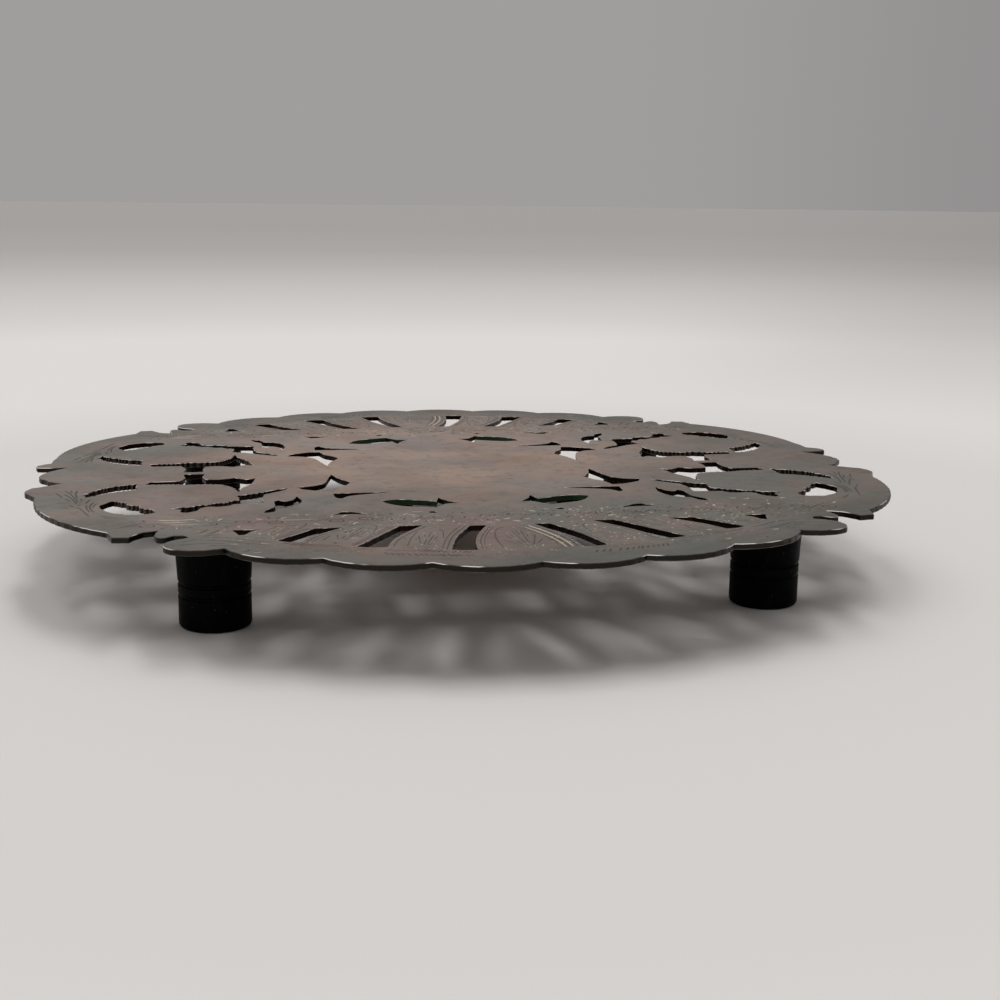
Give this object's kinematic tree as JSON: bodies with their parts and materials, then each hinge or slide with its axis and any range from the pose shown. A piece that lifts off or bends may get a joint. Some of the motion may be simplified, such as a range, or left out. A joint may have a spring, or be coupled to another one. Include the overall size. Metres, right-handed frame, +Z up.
{
  "type": "expandable trivet",
  "caption": "Round pierced silver-plated trivet on black feet, in halves that slide apart on runners to take a longer dish.",
  "frame": {"origin": "on the table under the middle of the closed trivet", "axes": "+Z up, +X to the right along the seam, +Y to the back; the front half slides out along -Y"},
  "size_m": [0.2, 0.1984, 0.0215],
  "materials": {
    "silver_plate": "tarnished silver plate with bright-cut engraving",
    "brass_parts": "dull, browned brass",
    "foot_plastic": "moulded black",
    "steel_screws": "plain turned steel"
  },
  "bodies": {
    "back_half": {"back_plate": "silver_plate", "back_left_foot": "foot_plastic", "back_left_foot_boss": "brass_parts", "back_left_foot_screw": "steel_screws", "back_left_inner_bridge": "brass_parts", "back_left_outer_bridge": "brass_parts", "back_right_foot": "foot_plastic", "back_right_foot_boss": "brass_parts", "back_right_foot_screw": "steel_screws", "back_right_inner_bridge": "brass_parts", "back_right_outer_bridge": "brass_parts"},
    "carriage": {"left_runner": "brass_parts", "left_tie_rivet": "brass_parts", "left_front_stop_pin": "brass_parts", "left_back_stop_pin": "brass_parts", "right_runner": "brass_parts", "right_tie_rivet": "brass_parts", "right_front_stop_pin": "brass_parts", "right_back_stop_pin": "brass_parts", "runner_tie": "brass_parts"},
    "front_half": {"front_plate": "silver_plate", "front_left_foot": "foot_plastic", "front_left_foot_boss": "brass_parts", "front_left_foot_screw": "steel_screws", "front_left_inner_bridge": "brass_parts", "front_left_outer_bridge": "brass_parts", "front_right_foot": "foot_plastic", "front_right_foot_boss": "brass_parts", "front_right_foot_screw": "steel_screws", "front_right_inner_bridge": "brass_parts", "front_right_outer_bridge": "brass_parts"}
  },
  "joints": [
    {"name": "runners_slide_out", "type": "slide", "parent": "back_half", "child": "carriage", "axis": [0, -1, 0], "range_m": [0, 0.03]},
    {"name": "front_half_slide_out", "type": "slide", "parent": "carriage", "child": "front_half", "axis": [0, -1, 0], "range_m": [0, 0.03]}
  ]
}
